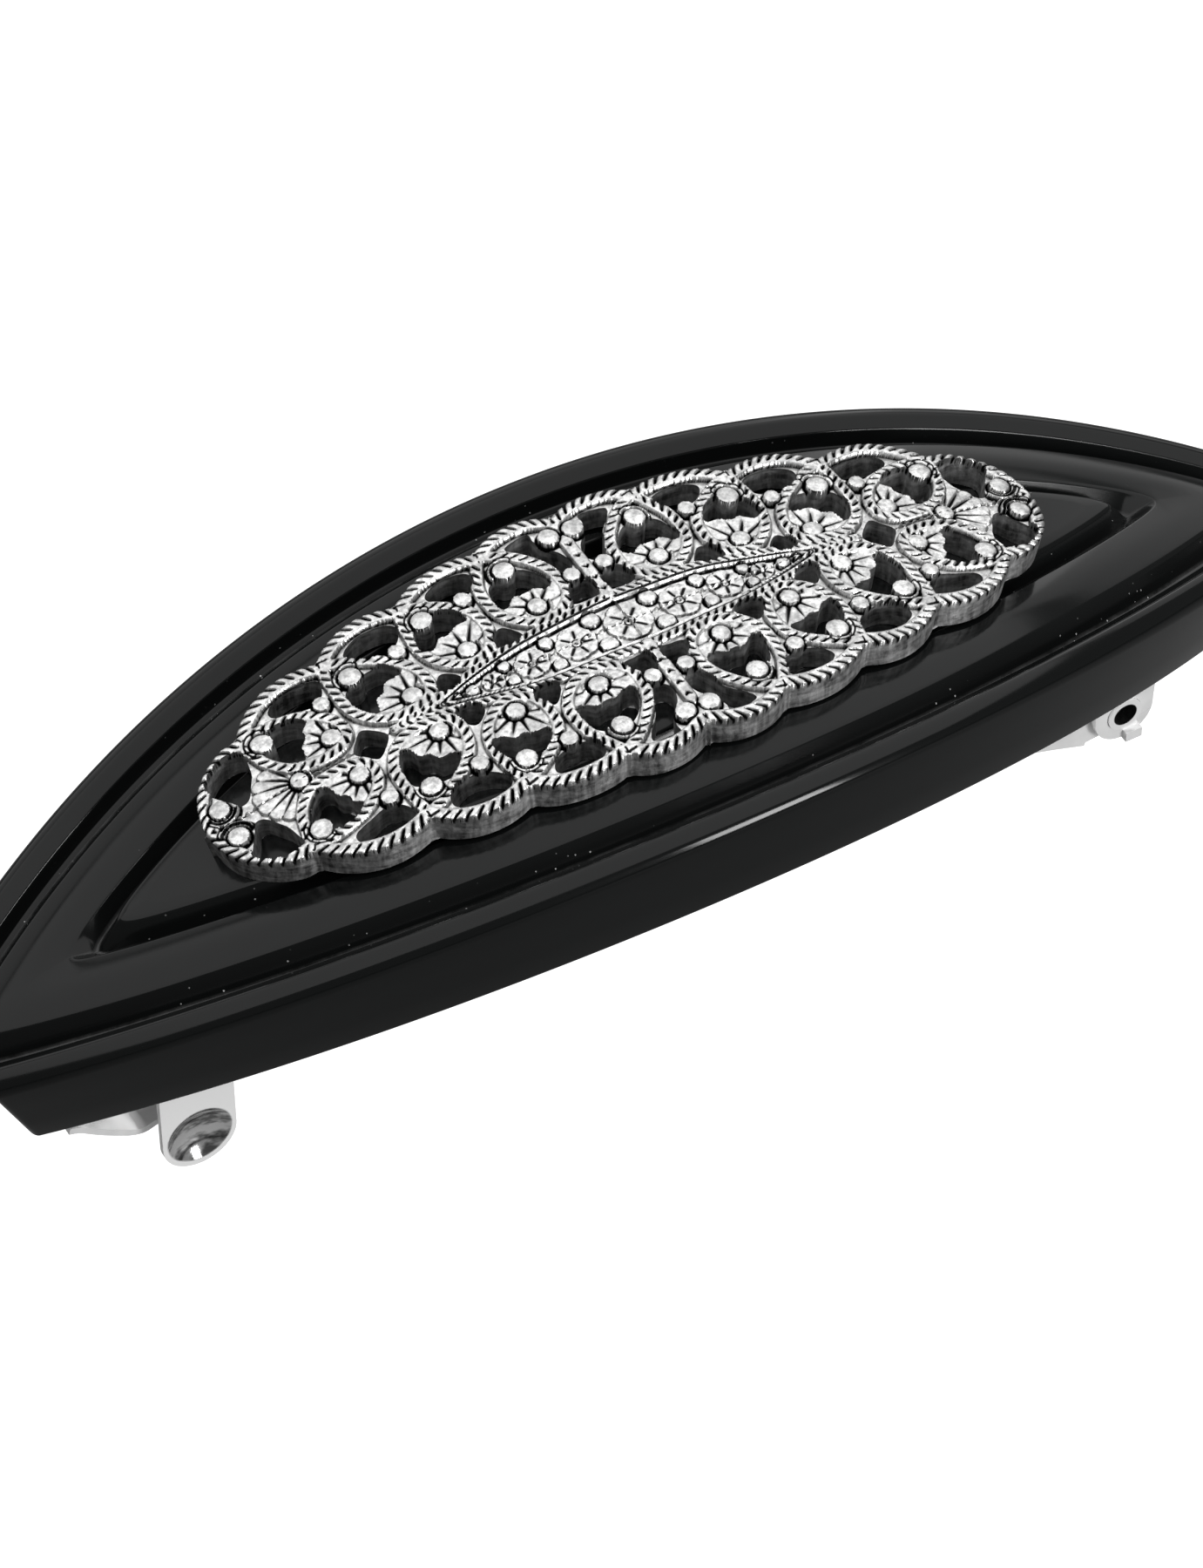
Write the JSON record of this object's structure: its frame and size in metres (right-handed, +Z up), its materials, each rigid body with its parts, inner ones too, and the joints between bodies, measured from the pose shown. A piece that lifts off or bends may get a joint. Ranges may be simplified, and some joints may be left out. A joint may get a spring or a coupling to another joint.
{
  "type": "barrette",
  "caption": "Arched lens-shaped hair barrette with a gloss black body, a pierced silver filigree plaque and a hinged, sprung steel clasp beneath.",
  "frame": {"origin": "centre of the bounding box's bottom face, level with the lower edge of the finger tabs", "axes": "+X along the length towards the clasp's hinge, +Z up through the crown of the arch, -Y towards the near side"},
  "size_m": [0.0954, 0.0332, 0.0284],
  "materials": {
    "black_plastic": "polished, glossy black",
    "antiqued_silver": "cast and antiqued: bright worn tops, oxidised recesses",
    "plated_steel": "bright nickel plate",
    "spring_steel": "satin spring steel",
    "rivet_steel": "satin plated rivets"
  },
  "bodies": {
    "frame": {"hair_body": "black_plastic", "filigree_plaque": "antiqued_silver", "clasp_base": "plated_steel", "base_rivets": "rivet_steel", "catch_bridge": "plated_steel", "hinge_pin": "plated_steel"},
    "arm": {"clasp_arm": "plated_steel"},
    "near_tab": {"finger_tab_near": "plated_steel"},
    "far_tab": {"finger_tab_far": "plated_steel"},
    "spring": {"tension_spring": "spring_steel"}
  },
  "joints": [
    {"name": "arm_hinge", "type": "hinge", "parent": "frame", "child": "arm", "pos_m": [0.03545, 0, 0.0047], "axis": [0, -1, 0], "range_deg": [0, 80]},
    {"name": "near_tab_squeeze", "type": "hinge", "parent": "frame", "child": "near_tab", "pos_m": [-0.0338, -0.00428, 0.0106], "axis": [1, 0, 0], "range_deg": [0, 3], "stiffness_Nm_per_rad": 0.3},
    {"name": "far_tab_squeeze", "type": "hinge", "parent": "frame", "child": "far_tab", "pos_m": [-0.0338, 0.00428, 0.0106], "axis": [-1, 0, 0], "range_deg": [0, 3], "stiffness_Nm_per_rad": 0.3},
    {"name": "spring_press", "type": "hinge", "parent": "frame", "child": "spring", "pos_m": [0.02566, 0, 0.01503], "axis": [0, 1, 0], "range_deg": [0, 3], "stiffness_Nm_per_rad": 0.05}
  ]
}
